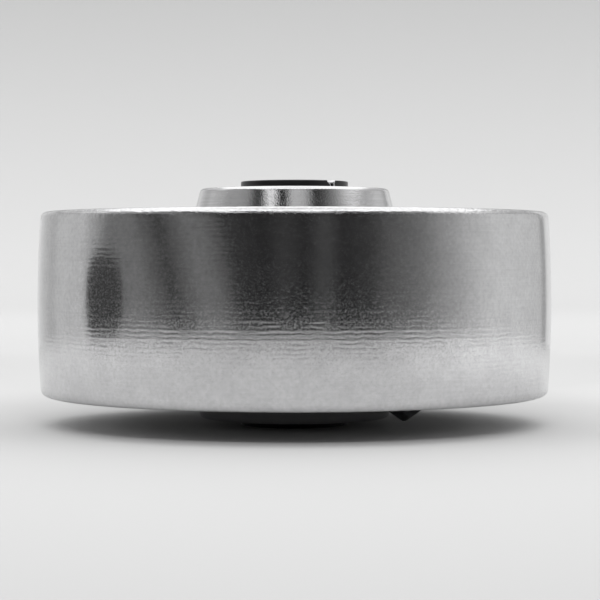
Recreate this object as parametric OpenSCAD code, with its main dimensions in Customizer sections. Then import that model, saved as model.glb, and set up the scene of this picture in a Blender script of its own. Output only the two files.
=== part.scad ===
// Yoke-type cam follower: a thick crowned outer ring on two rows of balls, closed by two end plates
// with raised tapered hubs, on a slotted spring bush that takes the pin. +Z is the spin axis, and the
// origin is the middle of the bore.

/* [Outer ring] */
// Outside diameter over the middle of the tread
outer_d = 62; // [58:0.5:72]
// Width of the ring over its side faces
ring_w = 22; // [22:0.1:26]
// Radius of the crown across the tread
crown_r = 150; // [80:5:400]
// Rounding where the tread meets a side face
tread_round = 0.75; // [0.2:0.05:1.2]
// Lead-in at the mouth of each seal seat
seat_chamfer = 0.35; // [0.1:0.05:0.6]

/* [End plates] */
// Diameter of each plate's flange
flange_d = 40.8; // [40:0.1:41]
// Thickness of the flange
flange_t = 2.5; // [2:0.1:2.7]
// Diameter of the raised hub at its outer face
hub_d = 22.8; // [21.5:0.1:25]
// Height of the hub above the side face of the outer ring
hub_rise = 2.85; // [1:0.05:5]
// Slope of the hub's side, in degrees from the axis
hub_draft = 14; // [1:1:20]
// Rounding of the hub's outer corner
hub_round = 0.5; // [0.1:0.05:0.9]
// Rounding at the foot of the hub
hub_fillet = 0.6; // [0.1:0.05:0.9]

/* [Split bush] */
// Bore that takes the pin
bore_d = 10; // [9:0.1:11]
// Outside diameter of the bush
bush_d = 13; // [12.2:0.1:14]
// How far the bush stands out of each hub
bush_proud = 0.9; // [0.6:0.05:3]
// Chamfer at both ends of the bush
bush_chamfer = 0.2; // [0.1:0.05:0.4]
// Width of the slit along the bush
slit_w = 0.4; // [0.3:0.05:1]
// Slant of the slit, in degrees from the axis
slit_slant = 12; // [0:1:14]
// Direction of the slit at the upper end, in degrees from +X
slit_at = -47; // [-180:1:180]
// Size of the V-shaped flare at each end of the slit
slit_flare = 0.4; // [0.2:0.05:0.8]

/* [Ball rows] */
// Ball diameter
ball_d = 6.35; // [5.5:0.05:6.4]
// Diameter of the circle through the ball centres
pitch_d = 32; // [31.6:0.1:32.4]
// Balls in each row
balls_per_row = 12; // [8:1:13]
// Distance of each row from the middle of the ring
row_z = 4.2; // [3.8:0.05:4.25]

/* [Grease nipple] */
// Diameter of the head
nipple_d = 4.2; // [3.6:0.1:4.4]
// Height of the head above the lower flange
nipple_h = 2.7; // [2.5:0.05:3]
// Slope of the head's pointed nose, in degrees from the flange
nose_slope = 35; // [25:1:38]
// Distance of the nipple from the axis
nipple_r = 17.6; // [16:0.1:17.8]
// Direction of the nipple, in degrees from +X
nipple_at = -44; // [-180:1:180]

/* [Hidden] */
$fn = 128;

run_gap = 0.05; // between a ball and its raceways
pocket_gap = 0.1; // between a ball and its cage pocket
spill = 1; // how far a cutting shape reaches past what it cuts

ball_r = ball_d / 2;
pitch_r = pitch_d / 2;
bore_r = bore_d / 2;
bush_r = bush_d / 2;

// Bearing rings: the shoulders beside the raceways, and the journals that carry the end plates
shoulder_step = 1.9;
inner_shoulder_r = pitch_r - shoulder_step;
outer_shoulder_r = pitch_r + shoulder_step;
journal_r = 9;
journal_chamfer = 0.25;
journal_set_back = 0.3;

// Heights above the middle plane
side_z = ring_w / 2;
flange_set_back = 0.3;
flange_z = side_z - flange_set_back;
plate_z = flange_z - flange_t;
seat_set_back = 0.2;
seat_z = plate_z - seat_set_back;
hub_z = side_z + hub_rise;
bush_z = hub_z + bush_proud;
journal_z = hub_z - journal_set_back;

// End plates
flange_r = flange_d / 2;
flange_chamfer = 0.3;
plate_bore_chamfer = 0.25;

// Seals: a steel case pressed into the outer ring, and the rubber lip moulded to it
seal_case_r = 22.6;
case_wall = 0.6;
case_leg_r = 21.1;
case_set_back = 0.45;
lip_set_back = 0.15;
lip_gap = 0.08;
lip_tip_h = 0.35;
lip_neck = 0.55;

// Cages
cage_side_gap = 0.5;
cage_inner_r = inner_shoulder_r + cage_side_gap;
cage_outer_r = outer_shoulder_r - cage_side_gap;
cage_horn = 1.9;
cage_rim_gap = 0.15;

// Grease nipple
nipple_head_r = nipple_d / 2;
nose_round = 0.5;
shank_r = 1.15;
shank_set_back = 0.1;
channel_r = 0.45;
chamber_r = 0.62;
mouth_r = 0.25;
valve_r = 0.5;
valve_gap = 0.03;
mouth_wall = 0.2;
valve_z = nipple_h - sqrt(pow(valve_r + valve_gap, 2) - mouth_r * mouth_r) - mouth_wall;
chamber_z = 0.3;
spring_wire_d = 0.16;
spring_turns = 4;
spring_sides = 8;
spring_steps = 16;

UPPER = "upper";
LOWER = "lower";
END_NAMES = [UPPER, LOWER];

function ball_name(end, i) = str(end, "_ball_", i < 10 ? "0" : "", i);

// Radius of the crowned tread at height z
function tread_r(z) = outer_d / 2 - crown_r + sqrt(crown_r * crown_r - z * z);

// Draws its children, and their mirror image below the middle line of the profile
module both_sides() {
    children();
    mirror([0, 1]) children();
}

// Puts a piece that is drawn for the upper end at either end
module at_end(end) {
    if (end == UPPER) children();
    else mirror([0, 0, 1]) children();
}

// What a rounding takes off a square corner at the origin that faces +X and +Y
module corner_waste(r) {
    translate([-r, -r]) difference() {
        square(r + spill);
        circle(r = r);
    }
}

// What a 45 degree chamfer takes off a corner at the origin
module chamfer_waste(c) {
    rotate(45) square(c * sqrt(2), center = true);
}

// The torus that both raceways of both rows are cut from
module raceways() {
    both_sides() translate([pitch_r, row_z]) circle(r = ball_r + run_gap);
}

module outer_ring() {
    edge_z = side_z - tread_round;
    color("silver") rotate_extrude() difference() {
        intersection() {
            translate([outer_shoulder_r, -side_z]) square([outer_d / 2 - outer_shoulder_r, ring_w]);
            translate([outer_d / 2 - crown_r, 0]) circle(r = crown_r, $fn = 8 * $fn);
        }
        raceways();
        both_sides() {
            translate([tread_r(edge_z), side_z]) corner_waste(tread_round);
            translate([0, seat_z]) square([seal_case_r, ring_w]);
            translate([seal_case_r, side_z]) chamfer_waste(seat_chamfer);
        }
    }
}

module inner_ring() {
    color("gainsboro") rotate_extrude() difference() {
        union() {
            translate([bush_r, -plate_z]) square([inner_shoulder_r - bush_r, 2 * plate_z]);
            translate([bush_r, -journal_z]) square([journal_r - bush_r, 2 * journal_z]);
        }
        raceways();
        both_sides() translate([journal_r, journal_z]) chamfer_waste(journal_chamfer);
    }
}

// Half section of the raised hub: a sloping side, a rounded outer corner and a filleted foot
module hub_profile() {
    slope = tan(hub_draft);
    foot_r = hub_d / 2 + (hub_z - flange_z) * slope;
    round_x = hub_d / 2 + hub_round * (slope - 1 / cos(hub_draft));
    round_z = hub_z - hub_round;
    fillet_x = foot_r - hub_fillet * (slope - 1 / cos(hub_draft));
    fillet_z = flange_z + hub_fillet;
    polygon([
        [journal_r, plate_z],
        [foot_r, plate_z],
        [foot_r, flange_z],
        [round_x + hub_round * cos(hub_draft), round_z + hub_round * sin(hub_draft)],
        [round_x, round_z],
        [round_x, hub_z],
        [journal_r, hub_z],
    ]);
    translate([round_x, round_z]) circle(r = hub_round);
    difference() {
        polygon([
            [foot_r - spill, plate_z],
            [fillet_x, plate_z],
            [fillet_x, fillet_z],
            [fillet_x - hub_fillet * cos(hub_draft), fillet_z - hub_fillet * sin(hub_draft)],
        ]);
        translate([fillet_x, fillet_z]) circle(r = hub_fillet);
    }
}

// One end plate, drawn for the upper end: a flange that closes the ball space, with the hub on it
module end_plate() {
    rotate_extrude() difference() {
        union() {
            translate([journal_r, plate_z]) square([flange_r - journal_r, flange_t]);
            hub_profile();
        }
        translate([flange_r, flange_z]) chamfer_waste(flange_chamfer);
        translate([journal_r, hub_z]) chamfer_waste(plate_bore_chamfer);
    }
}

module upper_end_plate() {
    color("lightgray") end_plate();
}

module lower_end_plate() {
    color("lightgray") difference() {
        at_end(LOWER) end_plate();
        at_nipple() cylinder(r = shank_r, h = 4 * flange_t, center = true);
    }
}

// The split spring bush, with a slanting slit through one side of its wall
module split_bush() {
    slit_middle = slit_at + asin(bush_z * tan(slit_slant) / bush_r);
    color("dimgray") difference() {
        rotate_extrude() difference() {
            translate([bore_r, -bush_z]) square([bush_r - bore_r, 2 * bush_z]);
            both_sides() {
                translate([bore_r, bush_z]) chamfer_waste(bush_chamfer);
                translate([bush_r, bush_z]) chamfer_waste(bush_chamfer);
            }
        }
        rotate([0, 0, slit_middle]) rotate([slit_slant, 0, 0]) {
            translate([spill, -slit_w / 2, -2 * bush_z])
                cube([bush_r + spill, slit_w, 4 * bush_z]);
            for (end = [-1, 1]) translate([spill, 0, end * bush_z / cos(slit_slant)])
                rotate([45, 0, 0]) translate([0, -slit_flare, -slit_flare])
                    cube([bush_r + spill, 2 * slit_flare, 2 * slit_flare]);
        }
    }
}

// Steel case of a seal: a short sleeve in the seal seat, with a leg turned in behind the rubber
module seal_case(end) {
    color("darkgray") at_end(end) rotate_extrude() union() {
        translate([seal_case_r - case_wall, seat_z])
            square([case_wall, side_z - case_set_back - seat_z]);
        translate([case_leg_r, seat_z]) square([seal_case_r - case_leg_r, case_wall]);
    }
}

// Rubber lip of a seal, waisted behind the edge that bears on the rim of the end plate
module seal_lip(end) {
    back_z = seat_z + case_wall;
    front_z = flange_z - flange_chamfer - lip_set_back;
    tip_r = flange_r + lip_gap;
    color([0.12, 0.12, 0.13]) at_end(end) rotate_extrude() polygon([
        [seal_case_r - case_wall, back_z],
        [seal_case_r - case_wall, front_z],
        [tip_r, front_z],
        [tip_r, front_z - lip_tip_h],
        [tip_r + lip_neck, front_z - 2 * lip_tip_h],
        [tip_r + lip_neck, back_z],
    ]);
}

// Crown cage: a ring with its rim towards the end plate and round pockets that the balls snap into
module cage(end) {
    rim_z = plate_z - cage_rim_gap;
    color("darkgoldenrod") at_end(end) difference() {
        rotate_extrude() translate([cage_inner_r, row_z - cage_horn])
            square([cage_outer_r - cage_inner_r, rim_z - row_z + cage_horn]);
        for (i = [1:balls_per_row]) at_ball(UPPER, i) rotate([0, 90, 0])
            cylinder(r = ball_r + pocket_gap, h = 2 * ball_d, center = true);
    }
}

// Moves a piece from the origin to the place of one ball, and turns it to face outwards
module at_ball(end, i) {
    rotate([0, 0, (i - 1) * 360 / balls_per_row])
        translate([pitch_r, 0, end == UPPER ? row_z : -row_z]) children();
}

module ball(end, i) {
    color("whitesmoke") at_ball(end, i) sphere(r = ball_r);
}

// Moves a piece to the nipple's place on the lower flange, with +Z pointing out of the part
module at_nipple() {
    rotate([0, 0, nipple_at]) translate([nipple_r, 0, -flange_z]) mirror([0, 0, 1]) children();
}

// Half section of the head: a straight rim, a sloping nose and a rounded tip tangent to the slope
module nipple_head_profile() {
    tip_z = nipple_h - nose_round;
    touch_r = nose_round * sin(nose_slope);
    touch_z = tip_z + nose_round * cos(nose_slope);
    rim_z = touch_z - (nipple_head_r - touch_r) * tan(nose_slope);
    polygon([[0, 0], [nipple_head_r, 0], [nipple_head_r, rim_z], [touch_r, touch_z], [0, tip_z]]);
    intersection() {
        translate([0, tip_z]) circle(r = nose_round);
        square([nose_round, nipple_h]);
    }
}

// Drive-fit grease nipple: a shank in the flange and a pointed head, bored for a valve ball and spring
module grease_nipple() {
    color("dimgray") at_nipple() rotate_extrude() difference() {
        union() {
            translate([0, shank_set_back - flange_t])
                square([shank_r, flange_t - shank_set_back]);
            nipple_head_profile();
        }
        translate([0, -flange_t - spill]) square([channel_r, flange_t + 2 * spill]);
        translate([0, chamber_z]) square([chamber_r, valve_z - chamber_z]);
        translate([0, valve_z]) intersection() {
            circle(r = valve_r + valve_gap);
            square(valve_r + valve_gap);
        }
        square([mouth_r, nipple_h + spill]);
    }
}

module nipple_valve_ball() {
    color("whitesmoke") at_nipple() translate([0, 0, valve_z]) sphere(r = valve_r);
}

// A point of the spring's wire at a turn t and an angle around the wire
function spring_point(t, a) =
    let (
        coil_r = chamber_r - valve_gap - spring_wire_d,
        foot = chamber_z + spring_wire_d / 2 + valve_gap,
        top = valve_z - valve_r - spring_wire_d / 2 - valve_gap,
        r = coil_r + cos(a) * spring_wire_d / 2,
        z = foot + (top - foot) * t / spring_turns + sin(a) * spring_wire_d / 2
    )
    [r * cos(360 * t), r * sin(360 * t), z];

// The coil spring behind the valve ball
module nipple_spring() {
    rings = spring_turns * spring_steps;
    last = rings * spring_sides;
    points = [for (k = [0:rings], s = [0:spring_sides - 1])
        spring_point(k / spring_steps, 360 * s / spring_sides)];
    walls = [for (k = [0:rings - 1], s = [0:spring_sides - 1])
        let (a = k * spring_sides + s, b = k * spring_sides + (s + 1) % spring_sides)
        [a, b, b + spring_sides, a + spring_sides]];
    start_cap = [for (s = [spring_sides - 1:-1:0]) s];
    end_cap = [for (s = [0:spring_sides - 1]) last + s];
    color("gray") at_nipple() polyhedron(points, concat(walls, [start_cap, end_cap]));
}

split_bush();
inner_ring();
upper_end_plate();
lower_end_plate();
outer_ring();
seal_case(UPPER);  // upper_seal_case
seal_case(LOWER);  // lower_seal_case
seal_lip(UPPER);  // upper_seal_lip
seal_lip(LOWER);  // lower_seal_lip
cage(UPPER);  // upper_cage
cage(LOWER);  // lower_cage
grease_nipple();
nipple_valve_ball();
nipple_spring();
for (end = END_NAMES, i = [1:balls_per_row])
    ball(end, i);
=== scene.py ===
"""A yoke-type cam follower: a crowned roller on two ball rows, with hub plates and a slotted bush.

The sizes that the frame gives are read from the frame; the rest, the colours and the studio are
properties, and each group of pieces is made by an operator of its own.
"""

import math

import bmesh
import bpy
from bpy.props import FloatProperty, FloatVectorProperty, IntProperty, PointerProperty
from mathutils import Matrix, Vector, noise


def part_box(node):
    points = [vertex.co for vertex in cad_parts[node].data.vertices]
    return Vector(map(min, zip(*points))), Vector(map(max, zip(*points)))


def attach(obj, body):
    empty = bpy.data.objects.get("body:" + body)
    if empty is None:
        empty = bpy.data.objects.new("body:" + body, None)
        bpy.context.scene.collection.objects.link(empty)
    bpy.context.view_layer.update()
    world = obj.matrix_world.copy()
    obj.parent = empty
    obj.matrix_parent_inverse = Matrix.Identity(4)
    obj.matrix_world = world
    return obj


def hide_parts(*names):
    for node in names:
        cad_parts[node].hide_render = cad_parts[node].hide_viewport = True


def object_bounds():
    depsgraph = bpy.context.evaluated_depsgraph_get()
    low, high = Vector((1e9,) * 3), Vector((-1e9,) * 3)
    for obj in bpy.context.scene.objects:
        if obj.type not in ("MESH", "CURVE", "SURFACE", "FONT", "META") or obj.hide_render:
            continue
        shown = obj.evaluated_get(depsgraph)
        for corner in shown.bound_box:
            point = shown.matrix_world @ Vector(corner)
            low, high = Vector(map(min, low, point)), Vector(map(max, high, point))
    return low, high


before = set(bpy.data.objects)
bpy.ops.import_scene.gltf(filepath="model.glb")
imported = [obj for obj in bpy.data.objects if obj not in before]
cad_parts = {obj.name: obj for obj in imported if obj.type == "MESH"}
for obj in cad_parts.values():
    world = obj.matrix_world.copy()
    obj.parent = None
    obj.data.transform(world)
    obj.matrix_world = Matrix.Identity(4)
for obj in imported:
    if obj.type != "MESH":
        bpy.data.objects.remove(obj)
CAD_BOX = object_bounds()

bl_info = {
    "name": "Cam Follower",
    "version": (1, 0, 0),
    "blender": (4, 5, 0),
    "location": "View3D > Sidebar > Cam Follower",
    "description": "Models a yoke-type cam follower and its studio round a packed frame",
    "category": "Object",
}

MM = 0.001
UPPER = 1
LOWER = -1
SIDES = {"upper": UPPER, "lower": LOWER}


# ---------------------------------------------------------------------------------------------
# Sizes that the frame gives, in metres
# ---------------------------------------------------------------------------------------------

def reach(node):
    """Largest distance of a turned node from the Z axis."""
    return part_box(node)[1].x


def top(node):
    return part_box(node)[1].z


def bottom(node):
    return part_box(node)[0].z


TREAD_R = reach("outer_ring")
SIDE_Z = top("outer_ring")
SEAT_R = reach("upper_seal_case")
SEAT_Z = bottom("upper_seal_case")
CASE_Z = top("upper_seal_case")
LIP_BACK_Z = bottom("upper_seal_lip")
LIP_FRONT_Z = top("upper_seal_lip")
LIP_R = reach("upper_seal_lip")
FLANGE_R = reach("upper_end_plate")
PLATE_Z = bottom("upper_end_plate")
HUB_Z = top("upper_end_plate")
SHOULDER_R = reach("inner_ring")
JOURNAL_Z = top("inner_ring")
BUSH_R = reach("split_bush")
BUSH_Z = top("split_bush")
BALL_R = (top("upper_ball_01") - bottom("upper_ball_01")) / 2
ROW_Z = (top("upper_ball_01") + bottom("upper_ball_01")) / 2
PITCH_R = reach("upper_ball_01") - BALL_R
NIPPLE_AT = sum(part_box("grease_nipple"), Vector()) / 2
NIPPLE_TIP_Z = bottom("grease_nipple")
NIPPLE_BACK_Z = top("grease_nipple")
NIPPLE_R = (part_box("grease_nipple")[1].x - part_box("grease_nipple")[0].x) / 2
VALVE_AT_Z = (top("nipple_valve_ball") + bottom("nipple_valve_ball")) / 2
VALVE_R = (top("nipple_valve_ball") - bottom("nipple_valve_ball")) / 2
FLOOR_Z = CAD_BOX[0].z


# ---------------------------------------------------------------------------------------------
# Properties
# ---------------------------------------------------------------------------------------------

def length(name, text, default_mm):
    """A length property whose default is in millimetres."""
    return FloatProperty(name=name, description=text, default=default_mm * MM, unit="LENGTH")


def angle(name, text, degrees):
    """An angle property whose default is in degrees."""
    return FloatProperty(name=name, description=text, default=math.radians(degrees), unit="ROTATION")


def power(name, text, default):
    """A light's power, in watts."""
    return FloatProperty(name=name, description=text, default=default, min=0, unit="POWER")


def steps(name, text, default):
    return IntProperty(name=name, description=text, default=default, min=24)


def share(name, text, default):
    return FloatProperty(name=name, description=text, default=default, min=0, max=1, subtype="FACTOR")


def tone(name, text, default):
    return FloatVectorProperty(
        name=name, description=text, default=default, size=3, min=0, max=1, subtype="COLOR"
    )


class FollowerSizes(bpy.types.PropertyGroup):
    """Sizes of the pieces that their boxes in the frame don't give."""

    crown_r: length("Crown radius", "Radius of the crown across the tread", 150)
    tread_round: length("Tread rounding", "Rounding where the tread meets a side face", 0.75)
    seat_chamfer: length("Seat lead-in", "Lead-in at the mouth of each seal seat", 0.35)
    flange_set_back: length("Flange set back", "Depth of a flange below the side face", 0.3)
    flange_chamfer: length("Flange chamfer", "Chamfer round each flange", 0.3)
    hub_r: length("Hub radius", "Radius of a hub at its outer face", 11.4)
    hub_draft: angle("Hub draft", "Slope of a hub's side from the axis", 14)
    hub_round: length("Hub rounding", "Rounding of a hub's outer corner", 0.5)
    hub_fillet: length("Hub fillet", "Rounding at the foot of a hub", 0.6)
    journal_r: length("Journal radius", "Radius of the inner ring's journals", 9)
    bore_r: length("Bore radius", "Radius of the hole for the pin", 5)
    slit_w: length("Slit width", "Width of the slit through the bush", 0.4)
    slit_flare: length("Slit flare", "Size of the flare at each end of the slit", 0.4)
    slit_slant: angle("Slit slant", "Slant of the slit from the axis", 12)
    slit_at: angle("Slit direction", "Direction of the slit at the upper end", -47)
    bush_round: length("Bush rounding", "Rounding at the ends of the bush", 0.16)
    nose_slope: angle("Nose slope", "Slope of the nipple's nose from the flange", 35)
    nose_round: length("Nose rounding", "Radius of the nipple's tip", 0.5)
    mouth_r: length("Mouth radius", "Radius of the mouth in the nipple's tip", 0.25)
    shank_r: length("Shank radius", "Radius of the nipple's shank", 1.15)
    channel_r: length("Channel radius", "Radius of the way through the shank", 0.45)
    chamber_r: length("Chamber radius", "Radius of the spring's chamber", 0.62)
    chamber_z: length("Chamber floor", "Height of the chamber's floor above the flange", 0.3)
    valve_gap: length("Valve gap", "Gap round the valve ball", 0.03)
    break_edge: length("Broken edge", "Rounding of an edge that is only broken", 0.12)
    nick_depth: length("Nick depth", "Depth of the deepest nick along the tread's edges", 0.09)
    turned_steps: steps("Turning steps", "Steps round a turned piece", 288)
    ring_steps: steps("Ring steps", "Steps round the outer ring", 640)


class FollowerColours(bpy.types.PropertyGroup):
    """Colours of the finishes."""

    ground_steel: tone("Ground steel", "Tread and side faces", (0.59, 0.59, 0.595))
    turned_steel: tone("Turned steel", "Hub plates", (0.62, 0.62, 0.625))
    bearing_steel: tone("Bearing steel", "Inner ring and balls", (0.66, 0.66, 0.67))
    black_steel: tone("Black steel", "Slotted bush", (0.004, 0.004, 0.0042))
    black_oxide: tone("Black oxide", "Grease nipple", (0.014, 0.014, 0.015))
    rubber: tone("Rubber", "Seal lips", (0.016, 0.016, 0.017))
    sheet_steel: tone("Sheet steel", "Seal cases", (0.33, 0.33, 0.34))
    brass: tone("Brass", "Cages", (0.70, 0.50, 0.22))
    floor: tone("Floor", "Pale floor", (0.43, 0.43, 0.43))


class FollowerStudio(bpy.types.PropertyGroup):
    """The camera, the floor and the lights."""

    camera_distance: length("Camera distance", "From the axis to the camera", 240.6)
    camera_height: length("Camera height", "Above the middle of the roller", 5.7)
    camera_lens: FloatProperty(
        name="Lens", description="Focal length on a 36 mm frame, in mm", default=118.7, unit="CAMERA"
    )
    camera_pitch: angle("Pitch", "Downward tilt of the camera", 1.269)
    camera_yaw: angle("Yaw", "Turn of the camera to the right", 0.16)
    floor_r: length("Floor radius", "From the axis to where the floor starts to rise", 550)
    sweep_r: length("Sweep radius", "Radius of the rise from floor to wall", 600)
    sky_level: FloatProperty(name="Sky", description="Brightness of the overhead light", default=1.7)
    card_distance: length("Card distance", "From the axis to the reflection cards", 187)
    low_card_h: length("Low card height", "Top of the lower cards", 72)
    card_gap: length("Card gap", "Gap between the lower and upper cards", 14)
    high_card_h: length("High card height", "Top of the upper cards", 165)
    disc_w: length("Disc width", "Half width of the dark disc on the left", 35)
    disc_h: length("Disc height", "Half height of the dark disc on the left", 16)
    disc_at: angle("Disc direction", "Turn of the dark disc from the front to the right", -84)
    disc_tone: share("Disc tone", "Brightness of the dark disc", 0.06)
    overhead_r: length("Overhead radius", "Radius of the card above", 130)
    overhead_z: length("Overhead height", "Height of the card above", 380)
    fill_power: power("Fill", "Power of each side light", 3.0)
    fill_rise: angle("Fill elevation", "Elevation of the side lights", 14)
    fill_turn: angle("Fill turn", "Turn of each side light from the front", 75)
    key_power: power("Key", "Power of the soft key light", 4.5)
    key_rise: angle("Key elevation", "Elevation of the key light", 31)


# ---------------------------------------------------------------------------------------------
# Mesh helpers
# ---------------------------------------------------------------------------------------------

# Parts of a rounded corner
ROUND_SEGMENTS = 7
# How far inside the ends of an edge its holding points lie, and the shortest edge that has them
HOLD = 0.05 * MM
HELD_FROM = 8 * HOLD
MERGE = 0.0005 * MM
# How many times a turned sector is doubled to make the whole turn
DOUBLINGS = 4
SHARP_ANGLE = math.radians(32)
HOLE_STEPS = 48


def arc(centre, radius, start, end, parts):
    """Points of an arc in the half section, from one angle to another, both ends included."""
    r, z = centre
    turns = [start + (end - start) * i / parts for i in range(parts + 1)]
    return [(r + radius * math.cos(a), z + radius * math.sin(a)) for a in turns]


def section(outline, rounds):
    """A mesh of the outline's edges in the XZ plane. rounds gives a radius for some corners."""
    bm = bmesh.new()
    corners = [bm.verts.new((r, 0, z)) for r, z in outline]
    bm.faces.new(corners)
    for radius in sorted(set(rounds.values())):
        bmesh.ops.bevel(
            bm,
            geom=[corners[i] for i, size in rounds.items() if size == radius],
            offset=radius,
            segments=ROUND_SEGMENTS,
            profile=0.5,
            affect="VERTICES",
            material=-1,
        )
    for edge in list(bm.edges):
        hold_ends(edge)
    bmesh.ops.delete(bm, geom=bm.faces[:], context="FACES_ONLY")
    return bm


def hold_ends(edge):
    """Adds a point just inside each end of a long edge, so that flat stretches shade flat."""
    size = edge.calc_length()
    if size < HELD_FROM:
        return
    first, last = edge.verts
    rest, _ = bmesh.utils.edge_split(edge, first, HOLD / size)
    far = rest if last in rest.verts else edge
    bmesh.utils.edge_split(far, last, HOLD / far.calc_length())


def spin_about_z(bm, geom, turned, parts):
    bmesh.ops.spin(bm, geom=geom, cent=(0, 0, 0), axis=(0, 0, 1), angle=turned, steps=parts)


def turn(bm, parts):
    """Spins a section all the way round the Z axis: one sector, then doubled until it closes."""
    sector = math.tau / 2**DOUBLINGS
    spin_about_z(bm, bm.verts[:] + bm.edges[:], sector, parts // 2**DOUBLINGS)
    for _ in range(DOUBLINGS):
        copy = bmesh.ops.duplicate(bm, geom=bm.verts[:] + bm.edges[:] + bm.faces[:])["geom"]
        verts = [item for item in copy if isinstance(item, bmesh.types.BMVert)]
        bmesh.ops.rotate(bm, cent=(0, 0, 0), matrix=Matrix.Rotation(sector, 3, "Z"), verts=verts)
        sector *= 2
    bmesh.ops.remove_doubles(bm, verts=bm.verts[:], dist=MERGE)
    bmesh.ops.recalc_face_normals(bm, faces=bm.faces[:])
    return bm


def flip_to(side, bm):
    """Mirrors a mesh that was drawn for the upper side to the lower side when that is asked."""
    if side == LOWER:
        bmesh.ops.scale(bm, vec=(1, 1, -1), verts=bm.verts[:])
        bmesh.ops.recalc_face_normals(bm, faces=bm.faces[:])
    return bm


def object_of(bm, name, material):
    """Turns a bmesh into an object at the origin, with one material."""
    mesh = bpy.data.meshes.new(name)
    bm.to_mesh(mesh)
    bm.free()
    mesh.materials.append(material)
    made = bpy.data.objects.new(name, mesh)
    bpy.context.scene.collection.objects.link(made)
    return made


def shade_smooth(mesh):
    mesh.polygons.foreach_set("use_smooth", [True] * len(mesh.polygons))


def finish_piece(bm, name, body, node, finish):
    """Turns a bmesh into a piece that rides on a body and stands for its CAD node."""
    piece = object_of(bm, name, finish_of(finish))
    shade_smooth(piece.data)
    piece.data.set_sharp_from_angle(angle=SHARP_ANGLE)
    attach(piece, body)
    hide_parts(node)
    return piece


def drill(bm, at, radius, low_z, high_z):
    """Cuts a round hole along Z between two heights."""
    tool = bmesh.new()
    bmesh.ops.create_cone(
        tool, cap_ends=True, segments=HOLE_STEPS, radius1=radius, radius2=radius, depth=high_z - low_z
    )
    bmesh.ops.translate(tool, vec=(at.x, at.y, (low_z + high_z) / 2), verts=tool.verts[:])
    blank, cutter = (bpy.data.objects.new(name, bpy.data.meshes.new(name)) for name in ("blank", "cutter"))
    for item, shape in ((blank, bm), (cutter, tool)):
        shape.to_mesh(item.data)
        bpy.context.scene.collection.objects.link(item)
    tool.free()
    cut = blank.modifiers.new("hole", "BOOLEAN")
    cut.object = cutter
    cut.operation = "DIFFERENCE"
    made = blank.evaluated_get(bpy.context.evaluated_depsgraph_get())
    bm.clear()
    bm.from_mesh(made.data)
    for item in (blank, cutter):
        mesh = item.data
        bpy.data.objects.remove(item)
        bpy.data.meshes.remove(mesh)
    return bm


def paint_node(node, material):
    """Gives a CAD node that is kept as it is a finish of its own."""
    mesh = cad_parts[node].data
    mesh.materials.clear()
    mesh.materials.append(material)


# ---------------------------------------------------------------------------------------------
# Material helpers
# ---------------------------------------------------------------------------------------------

class Graph:
    """A short way to write a node tree."""

    def __init__(self, tree):
        self.tree = tree
        tree.nodes.clear()

    def add(self, kind, settings=None, **inputs):
        """Adds a node. Inputs are values or sockets, by the input's name with _ for a space."""
        node = self.tree.nodes.new(kind)
        for key, value in (settings or {}).items():
            setattr(node, key, value)
        for key, value in inputs.items():
            self.feed(self.socket(node, key.replace("_", " ")), value)
        return node

    def feed(self, socket, value):
        """Links a socket to another, or sets its own value."""
        if isinstance(value, bpy.types.NodeSocket):
            self.tree.links.new(value, socket)
        else:
            socket.default_value = value

    def socket(self, node, name):
        if name.startswith("in "):
            return node.inputs[int(name[3:])]
        return node.inputs[name]

    def math(self, operation, *values):
        """A number worked out from one or two others."""
        node = self.add("ShaderNodeMath", {"operation": operation})
        for socket, value in zip(node.inputs, values):
            self.feed(socket, value)
        return node.outputs[0]

    def spread(self, value, low, high, to_low=0.0, to_high=1.0, smooth=False):
        """Maps a value from one range to another, held at the ends."""
        kind = "SMOOTHSTEP" if smooth else "LINEAR"
        node = self.add(
            "ShaderNodeMapRange",
            {"interpolation_type": kind},
            Value=value,
            From_Min=low,
            From_Max=high,
            To_Min=to_low,
            To_Max=to_high,
        )
        return node.outputs[0]

    def mix(self, factor, first, second):
        """Mixes two colours."""
        node = self.add("ShaderNodeMix", {"data_type": "RGBA"})
        for index, value in ((0, factor), (6, first), (7, second)):
            self.feed(node.inputs[index], value)
        return node.outputs[2]

    def ramp(self, factor, stops):
        """A ramp from grey stops: (position, level) pairs."""
        node = self.add("ShaderNodeValToRGB", Fac=factor)
        elements = node.color_ramp.elements
        while len(elements) < len(stops):
            elements.new(0.5)
        for element, (position, level) in zip(elements, stops):
            element.position = position
            element.color = (level, level, level, 1)
        return node.outputs[0]


def grey(level):
    return (level, level, level, 1)


def with_alpha(colour):
    return (*colour, 1)


def object_place(graph):
    return graph.add("ShaderNodeTexCoord").outputs["Object"]


def coordinates(graph):
    """The X, Y and Z of the Object coordinates."""
    return graph.add("ShaderNodeSeparateXYZ", Vector=object_place(graph)).outputs[:]


def from_axis(graph, x, y):
    """Distance from the Z axis."""
    squares = graph.math("ADD", graph.math("MULTIPLY", x, x), graph.math("MULTIPLY", y, y))
    return graph.math("SQRT", squares)


def turned_noise(graph, across, along, detail=3.0, roughness=0.55, seed=0.0):
    """Noise drawn out round the Z axis: across is its pitch across the lines, along on them."""
    x, y, z = coordinates(graph)
    lined = graph.add(
        "ShaderNodeCombineXYZ",
        X=graph.math("DIVIDE", from_axis(graph, x, y), across),
        Y=graph.math("DIVIDE", z, across),
        Z=graph.math("ADD", graph.math("DIVIDE", x, along), seed),
    ).outputs[0]
    return graph.add(
        "ShaderNodeTexNoise",
        {"noise_dimensions": "4D"},
        Vector=lined,
        W=graph.math("DIVIDE", y, along),
        Scale=1.0,
        Detail=detail,
        Roughness=roughness,
    ).outputs["Fac"]


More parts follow.
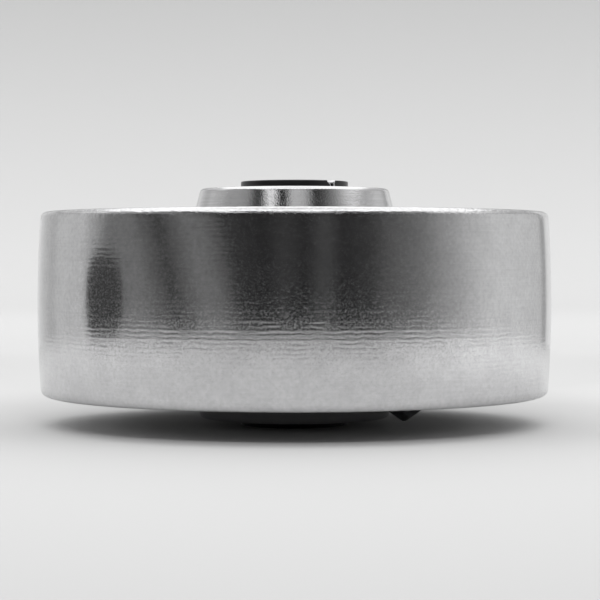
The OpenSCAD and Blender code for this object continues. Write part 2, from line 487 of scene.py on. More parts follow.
def grain(graph, size, detail=2.0, roughness=0.5, seed=0.0):
    """Even noise whose blotches are about the given size."""
    place = object_place(graph)
    moved = graph.add("ShaderNodeVectorMath", {"operation": "ADD"}, in_0=place, in_1=(seed, seed, seed))
    return graph.add(
        "ShaderNodeTexNoise", Vector=moved.outputs[0], Scale=1 / size, Detail=detail, Roughness=roughness
    ).outputs["Fac"]


def bumps(graph, layers):
    """Stacks bump layers, given as (height, depth in metres) pairs, and returns the normal."""
    normal = None
    for height, depth in layers:
        node = graph.add("ShaderNodeBump", Height=height, Strength=1.0, Distance=depth)
        if normal is not None:
            graph.tree.links.new(normal, node.inputs["Normal"])
        normal = node.outputs[0]
    return normal


def new_material(name):
    material = bpy.data.materials.new(name)
    material.use_nodes = True
    return material, Graph(material.node_tree)


def close_material(graph, **inputs):
    shader = graph.add("ShaderNodeBsdfPrincipled", **inputs)
    graph.add("ShaderNodeOutputMaterial", Surface=shader.outputs[0])


# ---------------------------------------------------------------------------------------------
# Finishes
# ---------------------------------------------------------------------------------------------

def scaled(graph, colour, shade):
    """A colour times a grey level."""
    node = graph.add("ShaderNodeVectorMath", {"operation": "SCALE"}, in_0=tuple(colour), Scale=shade)
    return node.outputs[0]


def close_metal(graph, colour, marks, shades, roughness, layers):
    """Closes a bare metal whose shade and roughness follow the same marks."""
    close_material(
        graph,
        Base_Color=scaled(graph, colour, graph.spread(marks, 0.3, 0.7, *shades)),
        Metallic=1.0,
        Roughness=graph.spread(marks, 0.3, 0.7, *roughness),
        Normal=bumps(graph, layers),
    )


def chatter(graph, pitch):
    """Short level ripples a set pitch apart, as a grinding wheel leaves them, between -1 and 1."""
    z = coordinates(graph)[2]
    drift = turned_noise(graph, 1.2 * MM, 1.5 * MM, detail=1, seed=11.0)
    patch = turned_noise(graph, 0.9 * MM, 2.6 * MM, detail=2, seed=17.0)
    turns = graph.math("ADD", graph.math("MULTIPLY", z, math.tau / pitch), graph.math("MULTIPLY", drift, 6.5))
    return graph.math("MULTIPLY", graph.math("SINE", turns), graph.spread(patch, 0.42, 0.66, 0.05, 1.0))


def near_tread_edge(graph):
    """1 on the rounded edges of the tread, 0 elsewhere."""
    x, y, z = coordinates(graph)
    high = graph.spread(graph.math("ABSOLUTE", z), SIDE_Z - 1.1 * MM, SIDE_Z - 0.5 * MM)
    out = graph.spread(from_axis(graph, x, y), TREAD_R - 1.5 * MM, TREAD_R - 1.1 * MM)
    return graph.math("MULTIPLY", high, out)


def ground_steel(colours):
    """Bright steel ground round the axis: hairlines, short chatter ripples and a fine speckle."""
    material, g = new_material("ground_steel_finish")
    hair = turned_noise(g, 0.10 * MM, 7 * MM, detail=3)
    ripple = chatter(g, 0.52 * MM)
    speck = grain(g, 0.21 * MM, detail=3, roughness=0.65)
    tooth = turned_noise(g, 0.17 * MM, 0.55 * MM, detail=2, seed=7.0)
    dapple = grain(g, 0.45 * MM, detail=3, roughness=0.6, seed=0.77)
    patches = grain(g, 2.6 * MM, detail=3, seed=0.31)
    nicks = g.math("MULTIPLY", near_tread_edge(g), g.spread(grain(g, 0.42 * MM, detail=3), 0.50, 0.72))
    hair_shade = g.spread(hair, 0.3, 0.7, 0.96, 1.03)
    lines = g.math("MULTIPLY", hair_shade, g.spread(patches, 0.35, 0.65, 0.96, 1.03))
    shade = g.math("MULTIPLY", lines, g.spread(dapple, 0.3, 0.7, 0.93, 1.07))
    speck_rough = g.spread(speck, 0.41, 0.69, 0.085, 0.22)
    ripple_rough = g.spread(ripple, 0.2, 1.0, 0.085, 0.17)
    normal = bumps(
        g, [(ripple, 0.0012 * MM), (tooth, 0.0010 * MM), (hair, 0.0006 * MM), (nicks, -0.02 * MM)]
    )
    close_material(
        g,
        Base_Color=scaled(g, colours.ground_steel, shade),
        Metallic=1.0,
        Roughness=g.math("MAXIMUM", speck_rough, ripple_rough),
        Normal=normal,
    )
    return material


def turned_steel(colours):
    """Bright turned and polished steel, with a slow wave left by the polishing wheel."""
    material, g = new_material("turned_steel_finish")
    fine = turned_noise(g, 0.09 * MM, 8 * MM, detail=2)
    waves = grain(g, 1.5 * MM, detail=1, seed=0.7)
    mottle = grain(g, 0.20 * MM, detail=3, roughness=0.6, seed=0.2)
    z = g.math("ABSOLUTE", coordinates(g)[2])
    on_slope = g.spread(z, SIDE_Z, SIDE_Z + 0.3 * MM, 0.12, 1.0)
    uneven = g.math("MULTIPLY", g.math("SUBTRACT", mottle, 0.5), on_slope)
    normal = bumps(g, [(waves, 0.010 * MM), (uneven, 0.014 * MM), (fine, 0.0010 * MM)])
    close_material(
        g,
        Base_Color=scaled(g, colours.turned_steel, g.spread(fine, 0.3, 0.7, 0.93, 1.04)),
        Metallic=1.0,
        Roughness=g.spread(mottle, 0.3, 0.7, 0.05, 0.12),
        Normal=normal,
    )
    return material


def bearing_steel(colours):
    """Hardened steel, finely ground."""
    material, g = new_material("bearing_steel_finish")
    fine = turned_noise(g, 0.07 * MM, 6 * MM, detail=2, seed=3.0)
    cloud = grain(g, 2.5 * MM, seed=0.9)
    close_metal(g, colours.bearing_steel, cloud, (0.9, 1.05), (0.12, 0.22), [(fine, 0.001 * MM)])
    return material


# How much lighter a rubbed end is than blackened steel, and how far from the end the bush is rubbed
RUBBED_GAIN = 6
RUBBED_H = 0.22 * MM


def black_steel(name, colour, wear_from, wear_to):
    """Blackened steel with a fine matt grain, rubbed grey towards its ends."""
    material, g = new_material(name)
    speck = grain(g, 0.12 * MM, detail=3, roughness=0.65)
    cloud = grain(g, 1.6 * MM, detail=3, seed=0.5)
    at_end = g.spread(g.math("ABSOLUTE", coordinates(g)[2]), wear_from, wear_to, smooth=True)
    rubbed = g.math("MULTIPLY", at_end, g.spread(cloud, 0.48, 0.68))
    base = g.mix(rubbed, with_alpha(colour), with_alpha(min(1, c * RUBBED_GAIN) for c in colour))
    close_material(
        g,
        Base_Color=base,
        Roughness=g.spread(speck, 0.3, 0.7, 0.26, 0.42),
        Specular_IOR_Level=0.3,
        Normal=bumps(g, [(cloud, 0.004 * MM), (speck, 0.003 * MM)]),
    )
    return material


def bare_slit(colours):
    """The bright cut faces of the bush's slit."""
    material, g = new_material("bare_slit_finish")
    cut = grain(g, 0.10 * MM, detail=3, roughness=0.6, seed=0.8)
    close_metal(g, colours.bearing_steel, cut, (0.85, 1.1), (0.22, 0.36), [(cut, 0.002 * MM)])
    return material


def rubber(colours):
    """Black nitrile rubber with a faint bloom and moulding lines."""
    material, g = new_material("seal_rubber_finish")
    moulding = turned_noise(g, 0.16 * MM, 12 * MM, detail=2)
    bloom = grain(g, 1.2 * MM, detail=3, seed=0.4)
    base = g.mix(
        g.spread(bloom, 0.45, 0.75, 0.0, 0.6),
        with_alpha(colours.rubber),
        with_alpha([c * 2.2 for c in colours.rubber]),
    )
    close_material(
        g,
        Base_Color=base,
        Roughness=g.spread(bloom, 0.3, 0.7, 0.42, 0.6),
        Specular_IOR_Level=0.4,
        Normal=bumps(g, [(moulding, 0.004 * MM)]),
    )
    return material


def sheet_steel(colours):
    """Dull pressed sheet steel."""
    material, g = new_material("sheet_steel_finish")
    rolled = turned_noise(g, 0.1 * MM, 4 * MM, detail=3, seed=5.0)
    close_metal(g, colours.sheet_steel, rolled, (0.8, 1.1), (0.3, 0.45), [(rolled, 0.003 * MM)])
    return material


def brass(colours):
    """Machined brass."""
    material, g = new_material("cage_brass_finish")
    cut = turned_noise(g, 0.12 * MM, 7 * MM, detail=2, seed=2.0)
    close_metal(g, colours.brass, cut, (0.85, 1.08), (0.22, 0.34), [(cut, 0.003 * MM)])
    return material


def black_bush(colours):
    return black_steel("black_bush_finish", colours.black_steel, BUSH_Z - RUBBED_H, BUSH_Z)


def black_nipple(colours):
    return black_steel("nipple_finish", colours.black_oxide, -NIPPLE_BACK_Z, -NIPPLE_TIP_Z)


MAKERS = {
    "ground_steel": ground_steel,
    "turned_steel": turned_steel,
    "bearing_steel": bearing_steel,
    "black_spring_steel": black_bush,
    "bare_slit": bare_slit,
    "nipple_steel": black_nipple,
    "seal_rubber": rubber,
    "seal_steel": sheet_steel,
    "cage_brass": brass,
}
FINISHES = {}


def finish_of(key):
    """Makes each finish once and hands the same one out after that."""
    if key not in FINISHES:
        FINISHES[key] = MAKERS[key](bpy.context.scene.follower_colours)
    return FINISHES[key]


# ---------------------------------------------------------------------------------------------
# Operators
# ---------------------------------------------------------------------------------------------

GROOVE_GAP = 0.05 * MM
SHOULDER_STEP = 1.9 * MM
GROOVE_STEPS = 20
CROWN_STEPS = 20
# Nicks: how far they reach from the corner in roundings, their size, and how few and how sharp they are
NICK_REACH = 1.6
NICK_SIZE = 0.55 * MM
NICK_FROM = 0.30
NICK_GAIN = 2.2


def race_arc(row_z, facing, shoulder_r):
    """The raceway of one row in a half section, drawn towards higher z, for a groove in a ring.
    facing is 1 for the outer ring's groove and -1 for the inner ring's."""
    radius = BALL_R + GROOVE_GAP
    half = math.acos((shoulder_r - PITCH_R) * facing / radius)
    middle = 0 if facing > 0 else math.pi
    return arc((PITCH_R, row_z), radius, middle - facing * half, middle + facing * half, GROOVE_STEPS)


def nick_edges(bm, sizes):
    """Dents the rounded edges of the tread here and there, as handling does."""
    zone = NICK_REACH * sizes.tread_round
    for vert in bm.verts:
        x, y, z = vert.co
        r = math.hypot(x, y)
        from_corner = math.hypot(TREAD_R - r, SIDE_Z - abs(z))
        if from_corner > zone:
            continue
        rough = noise.noise(vert.co / NICK_SIZE) - NICK_FROM
        rough += 0.35 * noise.noise(vert.co / (0.4 * NICK_SIZE))
        if rough > 0:
            fade = 1 - (from_corner / zone) ** 2
            depth = sizes.nick_depth * min(1, NICK_GAIN * rough) * fade
            vert.co -= Vector((x / r, y / r, math.copysign(1, z))).normalized() * depth


class FOLLOWER_OT_outer_ring(bpy.types.Operator):
    """Turns the crowned outer ring, with its raceways and seal seats"""

    bl_idname = "follower.outer_ring"
    bl_label = "Outer Ring"

    def execute(self, context):
        sizes = context.scene.follower_sizes
        shoulder_r = PITCH_R + SHOULDER_STEP
        chamfer = sizes.seat_chamfer
        lower_race = race_arc(-ROW_Z, 1, shoulder_r)
        upper_race = race_arc(ROW_Z, 1, shoulder_r)
        heights = [SIDE_Z * (2 * i / CROWN_STEPS - 1) for i in range(CROWN_STEPS + 1)]
        crown = [
            (TREAD_R - sizes.crown_r + math.sqrt(sizes.crown_r**2 - z * z), z)
            for z in reversed(heights)
        ]
        outline = [
            *lower_race,
            *upper_race,
            (shoulder_r, SEAT_Z),
            (SEAT_R, SEAT_Z),
            (SEAT_R, SIDE_Z - chamfer),
            (SEAT_R + chamfer, SIDE_Z),
            *crown,
            (SEAT_R + chamfer, -SIDE_Z),
            (SEAT_R, chamfer - SIDE_Z),
            (SEAT_R, -SEAT_Z),
            (shoulder_r, -SEAT_Z),
        ]
        first = len(lower_race) + len(upper_race)
        edges = [first + 4, first + 4 + CROWN_STEPS]
        mouths = [first + 3, first + 5 + CROWN_STEPS]
        rounds = {i: sizes.tread_round for i in edges} | {i: sizes.break_edge for i in mouths}
        bm = turn(section(outline, rounds), sizes.ring_steps)
        nick_edges(bm, sizes)
        finish_piece(bm, "crowned_ring", "outer", "outer_ring", "ground_steel")
        return {"FINISHED"}


class FOLLOWER_OT_inner_ring(bpy.types.Operator):
    """Turns the inner ring, with its raceways and journals"""

    bl_idname = "follower.inner_ring"
    bl_label = "Inner Ring"

    def execute(self, context):
        sizes = context.scene.follower_sizes
        outline = [
            (BUSH_R, -JOURNAL_Z),
            (sizes.journal_r, -JOURNAL_Z),
            (sizes.journal_r, -PLATE_Z),
            (SHOULDER_R, -PLATE_Z),
            *race_arc(-ROW_Z, -1, SHOULDER_R),
            *race_arc(ROW_Z, -1, SHOULDER_R),
            (SHOULDER_R, PLATE_Z),
            (sizes.journal_r, PLATE_Z),
            (sizes.journal_r, JOURNAL_Z),
            (BUSH_R, JOURNAL_Z),
        ]
        last = len(outline) - 1
        rounds = {i: sizes.break_edge for i in (0, last)} | {i: 2 * sizes.break_edge for i in (1, last - 1)}
        bm = turn(section(outline, rounds), sizes.turned_steps)
        finish_piece(bm, "grooved_inner_ring", "core", "inner_ring", "bearing_steel")
        return {"FINISHED"}


# How far the drill goes past each side of a flange
DRILL_PAST = 1 * MM


class FOLLOWER_OT_hub_plates(bpy.types.Operator):
    """Turns the two end plates with their raised tapered hubs"""

    bl_idname = "follower.hub_plates"
    bl_label = "Hub Plates"

    def execute(self, context):
        sizes = context.scene.follower_sizes
        flange_z = SIDE_Z - sizes.flange_set_back
        foot_r = sizes.hub_r + (HUB_Z - flange_z) * math.tan(sizes.hub_draft)
        outline = [
            (sizes.journal_r, PLATE_Z),
            (FLANGE_R, PLATE_Z),
            (FLANGE_R, flange_z),
            (foot_r, flange_z),
            (sizes.hub_r, HUB_Z),
            (sizes.journal_r, HUB_Z),
        ]
        rounds = {
            0: sizes.break_edge,
            1: sizes.break_edge,
            2: sizes.flange_chamfer,
            3: sizes.hub_fillet,
            4: sizes.hub_round / math.tan((math.pi / 2 + sizes.hub_draft) / 2),
            5: 2 * sizes.break_edge,
        }
        for name, side in SIDES.items():
            bm = flip_to(side, turn(section(outline, rounds), sizes.turned_steps))
            if side == LOWER:
                drill(bm, NIPPLE_AT, sizes.shank_r, -flange_z - DRILL_PAST, DRILL_PAST - PLATE_Z)
            finish_piece(bm, f"{name}_hub_plate", "core", f"{name}_end_plate", "turned_steel")
        return {"FINISHED"}


# Edges of the flat strip that are rims, how far the flares of its ends face along it, and its levels
RIM_ANGLE = math.radians(80)
FLARED = (0.1, 0.99)
BUSH_LEVELS = 24


class FOLLOWER_OT_bush(bpy.types.Operator):
    """Rolls the slotted bush from a flat strip, with its slanting slit and flared slit ends"""

    bl_idname = "follower.bush"
    bl_label = "Slotted Bush"

    def execute(self, context):
        sizes = context.scene.follower_sizes
        middle_r = (BUSH_R + sizes.bore_r) / 2
        strip = math.tau * middle_r - sizes.slit_w
        bm = bmesh.new()
        bmesh.ops.create_cube(bm, size=1)
        bmesh.ops.scale(bm, vec=(strip, BUSH_R - sizes.bore_r, 2 * BUSH_Z), verts=bm.verts[:])
        for end, segments in ((1, 1), (-1, ROUND_SEGMENTS)):
            corners = [e for e in bm.edges if self.through_wall(e) and e.verts[0].co.x * end > 0]
            self.round_off(bm, corners, sizes.slit_flare, segments)
        rims = [e for e in bm.edges if e.calc_face_angle() > RIM_ANGLE]
        self.round_off(bm, rims, sizes.bush_round, 3)
        for face in bm.faces:
            face.material_index = int(FLARED[0] < abs(face.normal.x) < FLARED[1])
        self.slice(bm, strip, 0, sizes.turned_steps // 2)
        self.slice(bm, 2 * BUSH_Z, 2, BUSH_LEVELS)
        self.roll(bm, sizes, middle_r)
        bush = finish_piece(bm, "slotted_bush", "core", "split_bush", "black_spring_steel")
        bush.data.materials.append(finish_of("bare_slit"))
        return {"FINISHED"}

    @staticmethod
    def through_wall(edge):
        first, last = (vert.co for vert in edge.verts)
        return abs(first.y - last.y) > HOLD

    @staticmethod
    def round_off(bm, edges, size, segments):
        bmesh.ops.bevel(
            bm, geom=edges, offset=size, segments=segments, profile=0.5, affect="EDGES", material=-1
        )

    @staticmethod
    def slice(bm, extent, axis, parts):
        """Cuts the strip square to an axis, so that it can bend."""
        square = Vector((axis == 0, 0, axis == 2))
        for i in range(1, parts):
            at = square * (extent * (i / parts - 0.5))
            bmesh.ops.bisect_plane(
                bm, geom=bm.verts[:] + bm.edges[:] + bm.faces[:], plane_co=at, plane_no=square, dist=1e-7
            )

    @staticmethod
    def roll(bm, sizes, middle_r):
        """Rolls the strip round the axis. The slit starts at its place at the top, and slants."""
        lean = math.tan(sizes.slit_slant) / BUSH_R
        for vert in bm.verts:
            turned = sizes.slit_at + (vert.co.x + math.tau * middle_r / 2) / middle_r
            turned += math.asin(lean * BUSH_Z) - math.asin(lean * vert.co.z)
            r = middle_r + vert.co.y
            vert.co.xy = (r * math.cos(turned), r * math.sin(turned))
        bmesh.ops.recalc_face_normals(bm, faces=bm.faces[:])
        if bm.calc_volume(signed=True) < 0:
            bmesh.ops.reverse_faces(bm, faces=bm.faces[:])


# A seal: the lip's gap to the flange, the height of its tip, its neck, and the leg of the case
LIP_GAP = 0.08 * MM
LIP_TIP_H = 0.35 * MM
LIP_NECK = 0.55 * MM
CASE_LEG = 1.5 * MM


class FOLLOWER_OT_seals(bpy.types.Operator):
    """Makes the rubber seal lips and finishes their steel cases"""

    bl_idname = "follower.seals"
    bl_label = "Seals"

    def execute(self, context):
        sizes = context.scene.follower_sizes
        tip_r = FLANGE_R + LIP_GAP
        outline = [
            (LIP_R, LIP_BACK_Z),
            (LIP_R, LIP_FRONT_Z),
            (tip_r, LIP_FRONT_Z),
            (tip_r, LIP_FRONT_Z - LIP_TIP_H),
            (tip_r + LIP_NECK, LIP_FRONT_Z - 2 * LIP_TIP_H),
            (tip_r + LIP_NECK, LIP_BACK_Z),
        ]
        rounds = {i: sizes.break_edge for i in (1, 2, 3)} | {4: 2 * sizes.break_edge}
        case = self.case_outline(LIP_BACK_Z - SEAT_Z)
        case_rounds = {i: sizes.break_edge for i in (1, 2, 4, 5)}
        for name, side in SIDES.items():
            lip = flip_to(side, turn(section(outline, rounds), sizes.turned_steps))
            finish_piece(lip, f"{name}_lip", "outer", f"{name}_seal_lip", "seal_rubber")
            shell = flip_to(side, turn(section(case, case_rounds), sizes.turned_steps))
            finish_piece(shell, f"{name}_case", "outer", f"{name}_seal_case", "seal_steel")
        return {"FINISHED"}

    @staticmethod
    def case_outline(wall):
        """An L: a leg along the seat's floor and a wall against its side."""
        leg_r = SEAT_R - CASE_LEG
        return [
            (leg_r, SEAT_Z),
            (SEAT_R, SEAT_Z),
            (SEAT_R, CASE_Z),
            (SEAT_R - wall, CASE_Z),
            (SEAT_R - wall, SEAT_Z + wall),
            (leg_r, SEAT_Z + wall),
        ]


# Parts of each arc of the nipple's nose, and the steps round it
NOSE_PARTS = 8
NIPPLE_STEPS = 64


class FOLLOWER_OT_nipple(bpy.types.Operator):
    """Turns the grease nipple and sets it in the lower hub plate"""

    bl_idname = "follower.nipple"
    bl_label = "Grease Nipple"

    def execute(self, context):
        sizes = context.scene.follower_sizes
        flange_z = SIDE_Z - sizes.flange_set_back
        head = -NIPPLE_TIP_Z - flange_z
        back = NIPPLE_BACK_Z + flange_z
        seat_z = -VALVE_AT_Z - flange_z
        seat_r = VALVE_R + sizes.valve_gap
        nose = sizes.nose_round
        slope = sizes.nose_slope
        nose_z = self.tip_centre(head, nose, sizes.mouth_r)
        touch = math.pi / 2 - slope
        rim_z = nose_z + nose * math.sin(touch) - (NIPPLE_R - nose * math.cos(touch)) * math.tan(slope)
        outline = [
            *arc((0, seat_z), seat_r, 0, math.acos(sizes.mouth_r / seat_r), NOSE_PARTS),
            *arc((0, nose_z), nose, math.acos(sizes.mouth_r / nose), touch, NOSE_PARTS),
            (NIPPLE_R, rim_z),
            (NIPPLE_R, 0),
            (sizes.shank_r, 0),
            (sizes.shank_r, -back),
            (sizes.channel_r, -back),
            (sizes.channel_r, sizes.chamber_z),
            (sizes.chamber_r, sizes.chamber_z),
            (sizes.chamber_r, seat_z),
        ]
        rim = 2 * (NOSE_PARTS + 1)
        rounds = {rim: sizes.break_edge, rim + 1: sizes.break_edge / 2, rim + 3: sizes.break_edge}
        bm = turn(section(outline, rounds), NIPPLE_STEPS)
        bmesh.ops.scale(bm, vec=(1, 1, -1), verts=bm.verts[:])
        bmesh.ops.recalc_face_normals(bm, faces=bm.faces[:])
        bmesh.ops.translate(bm, vec=(NIPPLE_AT.x, NIPPLE_AT.y, -flange_z), verts=bm.verts[:])
        finish_piece(bm, "nipple_body", "core", "grease_nipple", "nipple_steel")
        for node in ("nipple_valve_ball", "nipple_spring"):
            paint_node(node, finish_of("bearing_steel"))
        return {"FINISHED"}

    @staticmethod
    def tip_centre(head, nose, mouth_r):
        """Height of the middle of the rounded tip, whose very top is bored away by the mouth."""
        return head - math.sqrt(nose**2 - mouth_r**2)


class FOLLOWER_OT_ball_rows(bpy.types.Operator):
    """Finishes the balls and cages of both rows"""

    bl_idname = "follower.ball_rows"
    bl_label = "Ball Rows"

    def execute(self, context):
        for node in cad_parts:
            if "_ball_" in node and node.startswith(tuple(SIDES)):
                paint_node(node, finish_of("bearing_steel"))
        for name in SIDES:
            paint_node(f"{name}_cage", finish_of("cage_brass"))
        return {"FINISHED"}


# Reflection cards in an arc, as (degrees to the right of the front, brightness) pairs
LOW_CARDS = (
    (-155, 0.85), (-134, 0.62), (-126, 0.55), (-118, 0.70), (-99, 0.70), (-90, 0.48), (-83, 0.24),
    (-70, 0.22), (-56, 0.06), (-43, 0.22), (-36, 0.19), (-27, 0.05), (-12, 0.026), (-4, 0.055),
    (4, 0.028), (12, 0.08), (19, 0.028), (30, 0.055), (40, 0.14), (50, 0.20), (62, 0.38), (78, 0.66),
    (90, 0.82), (112, 0.80), (131, 0.68), (135, 0.42), (139, 0.42), (142, 0.85), (155, 0.85),
)
HIGH_CARDS = (
    (-155, 0.85), (-128, 0.66), (-116, 0.85), (-98, 1.05), (-88, 0.55), (-72, 0.40), (-62, 0.32),
    (-56, 0.05), (-43, 0.03), (-38, 1.15), (-26, 1.15), (-23, 0.02), (-10, 0.01), (-6, 0.68),
    (9, 0.62), (17, 0.45), (22, 0.04), (28, 0.05), (36, 0.10), (44, 0.22), (54, 0.42), (66, 0.85),
    (76, 1.20), (88, 1.15), (104, 0.78), (125, 0.62), (155, 0.75),
)
# The brightness that the colour ramp of the cards calls 1
CARD_TOP = 1.2
# How far the tones of the cards on the left slant either way from foot to head, in radians, and the
# directions, in radians, between which they come to slant and stop slanting
CARD_LEAN = 0.2
LEAN_FROM = (-1.45, -1.15)
LEAN_TO = (-0.5, -0.1)
CARD_FOOT = 0.2 * MM
CARD_PARTS = 96
# How far the dark disc hangs inside the cards and below the middle, and how round it is cut
DISC_INSIDE = 6 * MM
DISC_DROP = 1 * MM
DISC_CUT = 0.8
# Brightness of the card above, at its middle and at its edge
OVERHEAD_LEVELS = (0.95, 1.55)
FLOOR_PARTS = 96
SWEEP_PARTS = 24
# Distance from the middle of the roller, length and height of the lights, in metres
FILL_LIGHT = (0.8, 0.5, 0.3)
KEY_LIGHT = (0.95, 0.5, 0.02)
# Width of the film that the lens is given for, in millimetres
SENSOR_W = 36


class FOLLOWER_OT_stage(bpy.types.Operator):
    """Sets up the pale floor with its sweep, the overhead light, the reflection cards and the camera"""

    bl_idname = "follower.stage"
    bl_label = "Stage"

    def execute(self, context):
        studio = context.scene.follower_studio
        self.floor(studio, context.scene.follower_colours)
        self.sky(context, studio)
        away = studio.card_distance
        gap_top = studio.low_card_h + studio.card_gap
        self.cards("low_cards", away, FLOOR_Z + CARD_FOOT, studio.low_card_h, LOW_CARDS, diffuse=True)
        self.cards("high_cards", away, gap_top, studio.high_card_h, HIGH_CARDS)
        self.dark_disc(studio)
        self.overhead_card(studio)
        # A soft light low on each side opens the shadow under the roller, and one above and behind
        # the camera gives the shadow its front edge
        self.light("left_fill", FILL_LIGHT, studio.fill_power, studio.fill_rise, -studio.fill_turn)
        self.light("right_fill", FILL_LIGHT, studio.fill_power, studio.fill_rise, studio.fill_turn)
        self.light("key", KEY_LIGHT, studio.key_power, studio.key_rise, 0)
        self.camera(context, studio)
        context.scene.view_settings.view_transform = "Standard"
        return {"FINISHED"}

    @staticmethod
    def floor(studio, colours):
        """A round floor that sweeps up into a wall on all sides."""
        bm = bmesh.new()
        centre = (studio.floor_r, FLOOR_Z + studio.sweep_r)
        rise = arc(centre, studio.sweep_r, -math.pi / 2, 0, SWEEP_PARTS)
        points = [bm.verts.new((r, 0, z)) for r, z in [(0, FLOOR_Z), *rise]]
        for first, last in zip(points, points[1:]):
            bm.edges.new((first, last))
        turn(bm, FLOOR_PARTS)
        material, g = new_material("pale_floor")
        close_material(
            g,
            # The floor's colour carries painted light and shade.
            Base_Color=scaled(g, colours.floor, FOLLOWER_OT_stage.floor_painted_light(g)),
            Roughness=0.9,
            Specular_IOR_Level=0.1,
        )
        floor = object_of(bm, "floor", material)
        shade_smooth(floor.data)

    @staticmethod
    def floor_painted_light(g):
        """Painted light and shade on the floor: brighter to the back and on both sides of the roller, a
        painted shadow under it and painted shade up the wall.
        """
        place = object_place(g)
        x, y, z = g.add("ShaderNodeSeparateXYZ", Vector=place).outputs[:]
        away = g.add("ShaderNodeVectorMath", {"operation": "LENGTH"}, in_0=place).outputs["Value"]
        # Painted light: the floor's colour is made brighter to the back and, near the roller, on both sides,
        # more on the right.
        sideways = g.math("DIVIDE", g.math("ABSOLUTE", x), g.math("ADD", away, 1 * MM))
        painted_side_light = g.math("MULTIPLY", g.spread(sideways, 0.5, 0.95), g.spread(x, -0.05, 0.05, 0.30, 0.52))
        near = g.math("MULTIPLY", g.spread(away, 0.05, 0.12), g.spread(away, 0.20, 0.40, 1.0, 0.0))
        painted_back_light = g.spread(y, -0.03, 0.45, 1.0, 1.20, smooth=True)
        painted_light = g.math("ADD", painted_back_light, g.math("MULTIPLY", painted_side_light, near))
        # Painted shade: the floor's colour darkens up the wall.
        painted_wall_shade = g.spread(z, -0.01, 0.20, 1.0, 0.68)
        # Painted contact shadow: the floor's colour darkens under the roller.
        painted_contact_shadow = g.spread(away, 0.012, 0.033, 0.45, 1.0, smooth=True)
        return g.math("MULTIPLY", g.math("MULTIPLY", painted_light, painted_wall_shade), painted_contact_shadow)

    @staticmethod
    def sky(context, studio):
        """Even white light from above the sweep."""
        world = bpy.data.worlds.new("soft_sky")
        world.use_nodes = True
        context.scene.world = world
        g = Graph(world.node_tree)
        light = g.add("ShaderNodeBackground", Color=grey(1.0), Strength=studio.sky_level)
        g.add("ShaderNodeOutputWorld", Surface=light.outputs[0])

    @staticmethod
    def cards(name, away, foot_z, head_z, tones, diffuse=False):
        """Cards in an arc between two heights. With diffuse set they also darken the floor."""
        bm = bmesh.new()
        foot = bm.verts.new((0, -away, foot_z))
        head = bm.verts.new((0, -away, head_z))
        edge = bm.edges.new((foot, head))
        first, last = (math.radians(tones[i][0]) for i in (0, -1))
        bmesh.ops.rotate(bm, cent=(0, 0, 0), matrix=Matrix.Rotation(first, 3, "Z"), verts=bm.verts[:])
        spin_about_z(bm, [foot, head, edge], last - first, CARD_PARTS)
        material, g = new_material(f"{name}_tones")
        x, y, z = coordinates(g)
        turned = g.math("ARCTAN2", x, g.math("MULTIPLY", y, -1.0))
        leaning = g.math("MULTIPLY", g.spread(turned, *LEAN_FROM), g.spread(turned, *LEAN_TO, 1.0, 0.0))
        lean = g.math("MULTIPLY", leaning, g.spread(z, foot_z, head_z, CARD_LEAN, -CARD_LEAN))
        along = g.spread(g.math("SUBTRACT", turned, lean), first, last)
        start, end = tones[0][0], tones[-1][0]
        stops = [((degrees - start) / (end - start), level / CARD_TOP) for degrees, level in tones]
        FOLLOWER_OT_stage.hang(bm, name, material, g, g.ramp(along, stops), CARD_TOP, diffuse)

    @staticmethod
    def hang(bm, name, material, graph, colour, strength, diffuse=False):
        """Makes a glowing card that only glossy surfaces show, and casts no shadow."""
        glow = graph.add("ShaderNodeEmission", Color=colour, Strength=strength)
        graph.add("ShaderNodeOutputMaterial", Surface=glow.outputs[0])
        card = object_of(bm, name, material)
        for kind in ("camera", "transmission", "volume_scatter", "shadow"):
            setattr(card, f"visible_{kind}", False)
        card.visible_diffuse = diffuse

    @staticmethod
    def dark_disc(studio):
        """A small dark disc low on the left, just inside the cards."""
        bm = bmesh.new()
        bmesh.ops.create_grid(bm, x_segments=1, y_segments=1, size=1)
        bmesh.ops.bevel(
            bm, geom=bm.verts[:], offset=DISC_CUT, segments=10, profile=0.5, affect="VERTICES", material=-1
        )
        bmesh.ops.scale(bm, vec=(studio.disc_w, studio.disc_h, 1), verts=bm.verts[:])
        upright = Matrix.Rotation(math.pi / 2, 4, "X")
        moved = Matrix.Translation((0, DISC_INSIDE - studio.card_distance, -DISC_DROP))
        bm.transform(Matrix.Rotation(studio.disc_at, 4, "Z") @ moved @ upright)
        material, g = new_material("dark_disc_tone")
        FOLLOWER_OT_stage.hang(bm, "dark_disc", material, g, grey(studio.disc_tone), 1.0)

    @staticmethod
    def overhead_card(studio):
        """A dimmer round card above, so that the flat faces don't burn out when seen from above."""
        bm = bmesh.new()
        bmesh.ops.create_circle(bm, cap_ends=True, radius=studio.overhead_r, segments=64)
        bmesh.ops.translate(bm, vec=(0, 0, studio.overhead_z), verts=bm.verts[:])
        material, g = new_material("overhead_card_tone")
        x, y = coordinates(g)[:2]
        level = g.spread(from_axis(g, x, y), 0.0, studio.overhead_r, *OVERHEAD_LEVELS)
        FOLLOWER_OT_stage.hang(bm, "overhead_card", material, g, grey(1.0), level)

    @staticmethod
    def light(name, build, power, rise, turned):
        """A soft light that glossy surfaces don't show, aimed at the middle of the roller."""
        away, wide, high = build
        data = bpy.data.lights.new(name, "AREA")
        data.shape = "RECTANGLE"
        data.size = wide
        data.size_y = high
        data.energy = power
        light = bpy.data.objects.new(name, data)
        flat = away * math.cos(rise)
        light.location = (flat * math.sin(turned), -flat * math.cos(turned), away * math.sin(rise))
        light.rotation_euler = (math.pi / 2 - rise, 0, turned)
        light.visible_glossy = False
        bpy.context.scene.collection.objects.link(light)

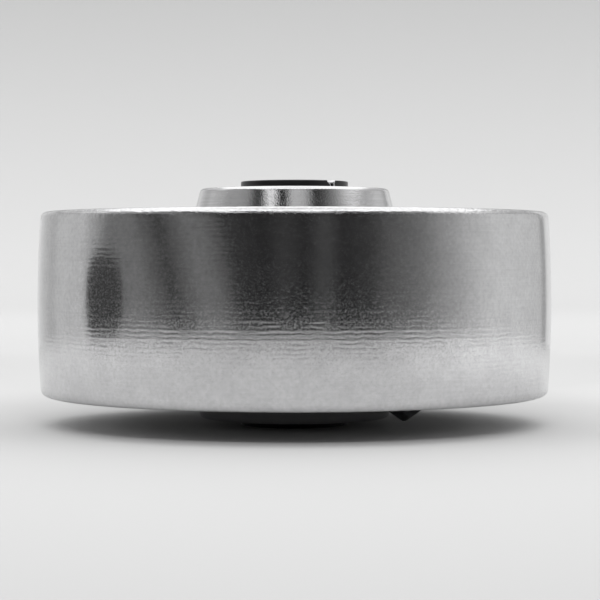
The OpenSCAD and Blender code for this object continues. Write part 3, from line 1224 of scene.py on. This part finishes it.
    @staticmethod
    def camera(context, studio):
        data = bpy.data.cameras.new("camera")
        data.sensor_width = SENSOR_W
        data.lens = studio.camera_lens
        data.clip_start = 0.01
        data.clip_end = 50
        camera = bpy.data.objects.new("camera", data)
        camera.location = (0, -studio.camera_distance, studio.camera_height)
        camera.rotation_euler = (math.pi / 2 - studio.camera_pitch, 0, -studio.camera_yaw)
        context.scene.collection.objects.link(camera)
        context.scene.camera = camera


class FOLLOWER_PT_sidebar(bpy.types.Panel):
    """Lists the pieces and the stage"""

    bl_idname = "FOLLOWER_PT_sidebar"
    bl_label = "Cam Follower"
    bl_space_type = "VIEW_3D"
    bl_region_type = "UI"
    bl_category = "Cam Follower"

    def draw(self, context):
        for operator in OPERATORS:
            self.layout.operator(operator.bl_idname)
        scene = context.scene
        for group in (scene.follower_sizes, scene.follower_colours, scene.follower_studio):
            box = self.layout.box()
            for name in group.bl_rna.properties.keys():
                if name not in ("rna_type", "name"):
                    box.prop(group, name)


OPERATORS = (
    FOLLOWER_OT_outer_ring,
    FOLLOWER_OT_inner_ring,
    FOLLOWER_OT_hub_plates,
    FOLLOWER_OT_bush,
    FOLLOWER_OT_seals,
    FOLLOWER_OT_nipple,
    FOLLOWER_OT_ball_rows,
    FOLLOWER_OT_stage,
)
GROUPS = (FollowerSizes, FollowerColours, FollowerStudio)


def register():
    for cls in (*GROUPS, *OPERATORS, FOLLOWER_PT_sidebar):
        bpy.utils.register_class(cls)
    bpy.types.Scene.follower_sizes = PointerProperty(type=FollowerSizes)
    bpy.types.Scene.follower_colours = PointerProperty(type=FollowerColours)
    bpy.types.Scene.follower_studio = PointerProperty(type=FollowerStudio)


def unregister():
    del bpy.types.Scene.follower_studio
    del bpy.types.Scene.follower_colours
    del bpy.types.Scene.follower_sizes
    for cls in (FOLLOWER_PT_sidebar, *reversed(OPERATORS), *reversed(GROUPS)):
        bpy.utils.unregister_class(cls)


def main():
    register()
    for operator in OPERATORS:
        group, name = operator.bl_idname.split(".")
        getattr(getattr(bpy.ops, group), name)()


if __name__ == "__main__":
    main()
